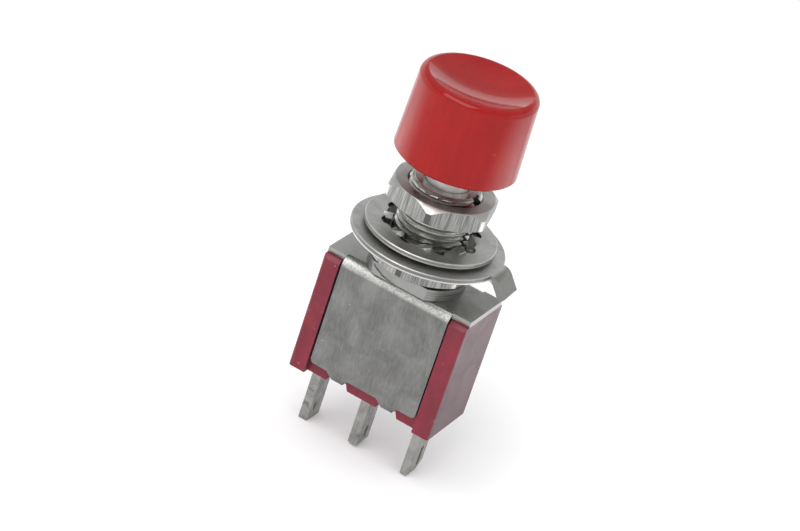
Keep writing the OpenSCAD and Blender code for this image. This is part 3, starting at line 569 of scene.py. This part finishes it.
# Rigid pieces whose CAD shape only needs its edges broken: width of the break in millimetres
brokenEdges = {
    "upper_nut": {"name": "upperNut", "edge": 0.045, "look": nutNickel, "slot": "nut_nickel", "smooth": 18},
    "lower_nut": {"name": "lowerNut", "edge": 0.045, "look": nutNickel, "slot": "nut_nickel", "smooth": 18},
    "lock_washer": {"name": "lockWasher", "edge": 0.025, "look": lockNickel, "slot": "washer_nickel"},
    "locking_ring": {"name": "lockingRing", "edge": 0.025, "look": ringNickel, "slot": "washer_nickel"},
    "frame": {"name": "sheetFrame", "edge": 0.08, "look": sheetSteel, "slot": "frame_steel"},
    "case": {"name": "mouldedCase", "edge": 0.13, "look": caseMaroon, "slot": "case_plastic"},
    "lug_left": {"name": "leftLug", "edge": 0.04, "look": lugSilver, "slot": "lug_silver"},
    "lug_centre": {"name": "centreLug", "edge": 0.04, "look": lugSilver, "slot": "lug_silver"},
    "lug_right": {"name": "rightLug", "edge": 0.04, "look": lugSilver, "slot": "lug_silver"},
}
for nodeName, part in brokenEdges.items():
    mesh = wholeFaces(nodeName)
    breakEdges(mesh, part["edge"])
    makePiece(part["name"], mesh, part["look"], nodeName,
              smoothAngle=part.get("smooth", usualSmooth))
print("nuts, washers, frame, case and lugs finished")

# Return spring: the CAD shape, whole, riding on the button
spring = makePiece("returnSpring", wholeFaces("return_spring"), plain["wire"], "return_spring",
                   body="button")
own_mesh(spring)
print("spring finished")

# CAD parts that keep their shape and only take their finish
dressed = {"cap": capRed, "plunger": plain["shaft"], "guide_plate": plain["nylon"],
           "lever": plain["zinc"], "drive_pin": plain["pin"],
           "pivot_pin": plain["pin"], "tip_spring": plain["wire"], "tip_pin": plain["nylon"],
           "rocker": plain["brass"], "rocker_contacts": plain["silver"], "contact_left": plain["silver"],
           "contact_right": plain["silver"], "terminal_seal": plain["resin"]}
for nodeName, look in dressed.items():
    nodes[nodeName].data.materials.clear()
    nodes[nodeName].data.materials.append(look)
print("cap, plunger and inner parts finished")

# White paper under the switch
floorPaper = {"size": 3.0, "colour": "#FCFCFC", "rough": 0.9}
mesh = bmesh.new()
bmesh.ops.create_grid(mesh, x_segments=1, y_segments=1, size=floorPaper["size"] / 2)
bmesh.ops.translate(mesh, verts=mesh.verts, vec=(0, 0, cadBox[0][2]))
data = bpy.data.meshes.new("floor")
mesh.to_mesh(data)
mesh.free()
floor = bpy.data.objects.new("floor", data)
bpy.context.scene.collection.objects.link(floor)
paper = bpy.data.materials.new("whitePaper")
paper.use_nodes = True
paper.node_tree.nodes["Principled BSDF"].inputs["Base Color"].default_value = linear(floorPaper["colour"])
paper.node_tree.nodes["Principled BSDF"].inputs["Roughness"].default_value = floorPaper["rough"]
data.materials.append(paper)

# Soft boxes in metres and watts
softBoxes = {
    "leftBox": {"place": (-0.30, -0.02, 0.14), "size": (0.16, 0.22), "power": 0.03},
    "topBox": {"place": (-0.06, -0.21, 0.31), "size": (0.34, 0.24), "power": 0.75},
    "rightBox": {"place": (0.32, 0.12, 0.16), "size": (0.2, 0.24), "power": 0.05},
}
for name, box in softBoxes.items():
    lamp = bpy.data.lights.new(name, "AREA")
    lamp.shape = "RECTANGLE"
    lamp.size, lamp.size_y = box["size"]
    lamp.energy = box["power"]
    stand = bpy.data.objects.new(name, lamp)
    stand.location = box["place"]
    stand.rotation_euler = (-Vector(box["place"])).to_track_quat("-Z", "Y").to_euler()
    bpy.context.scene.collection.objects.link(stand)

# Pools of light on the paper beside the switch, which the glossy sides pick up as pale strips.
# They fall straight down from lamps at one height, in metres
poolLamp = {"height": 0.45, "radius": 0.01}
pools = {
    "leftPool": {"aim": (-0.055, -0.002), "radius": 0.028, "soft": 0.15, "power": 9.0},
    "rightPool": {"aim": (0.050, 0.026), "radius": 0.042, "soft": 1.0, "power": 12.0},
}
for name, pool in pools.items():
    lamp = bpy.data.lights.new(name, "SPOT")
    lamp.energy = pool["power"]
    lamp.spot_size = 2 * atan(pool["radius"] / poolLamp["height"])
    lamp.spot_blend = pool["soft"]
    lamp.shadow_soft_size = poolLamp["radius"]
    stand = bpy.data.objects.new(name, lamp)
    stand.location = (*pool["aim"], poolLamp["height"] + cadBox[0][2])
    bpy.context.scene.collection.objects.link(stand)

# The room: white walls low down, a greyer band above them and a pale ceiling. Heights are 0 at the
# horizon and 1 overhead
room = {"wallTop": (0.35, 0.372), "ceilingFrom": (0.55, 0.75), "wall": (1.2, 1.2, 1.2, 1),
        "upper": (0.6, 0.6, 0.61, 1), "ceiling": (0.92, 0.92, 0.93, 1), "strength": 1.0}
world = bpy.data.worlds.new("studio")
bpy.context.scene.world = world
world.use_nodes = True
tree = world.node_tree
place = addNode(tree, "TexCoord")
sky = addNode(tree, "SeparateXYZ", links={"Vector": place.outputs["Generated"]})
overWall = addNode(tree, "MapRange", {"From Min": room["wallTop"][0], "From Max": room["wallTop"][1]},
                   {"Value": sky.outputs["Z"]})
overUpper = addNode(tree, "MapRange", {"From Min": room["ceilingFrom"][0],
                                       "From Max": room["ceilingFrom"][1]}, {"Value": sky.outputs["Z"]})
walls = addNode(tree, "Mix", {"data_type": "RGBA", 6: room["wall"], 7: room["upper"]},
                {0: overWall.outputs[0]})
shade = addNode(tree, "Mix", {"data_type": "RGBA", 7: room["ceiling"]},
                {0: overUpper.outputs[0], 6: walls.outputs[2]})
tree.links.new(shade.outputs[2], tree.nodes["Background"].inputs["Color"])
tree.nodes["Background"].inputs["Strength"].default_value = room["strength"]

# Camera: a long lens a quarter of a metre away, rolled so that the switch leans in the view;
# its place is in millimetres
view = {"lens": 144.0, "sensor": 36.0, "clip": (0.01, 20), "place": (75.23, -209.57, 117.12),
        "right": (0.83778, 0.46587, 0.28477), "down": (0.45334, -0.30280, -0.83833)}
camera = bpy.data.cameras.new("camera")
camera.lens = view["lens"]
camera.sensor_width = view["sensor"]
camera.clip_start, camera.clip_end = view["clip"]
cameraObject = bpy.data.objects.new("camera", camera)
right = Vector(view["right"]).normalized()
up = -Vector(view["down"]).normalized()
turn = Matrix((right, up, right.cross(up))).transposed().to_4x4()
turn.translation = Vector(view["place"]) * mm
cameraObject.matrix_world = turn
bpy.context.scene.collection.objects.link(cameraObject)
bpy.context.scene.camera = cameraObject
bpy.context.scene.view_settings.view_transform = "Standard"
print("stage ready")
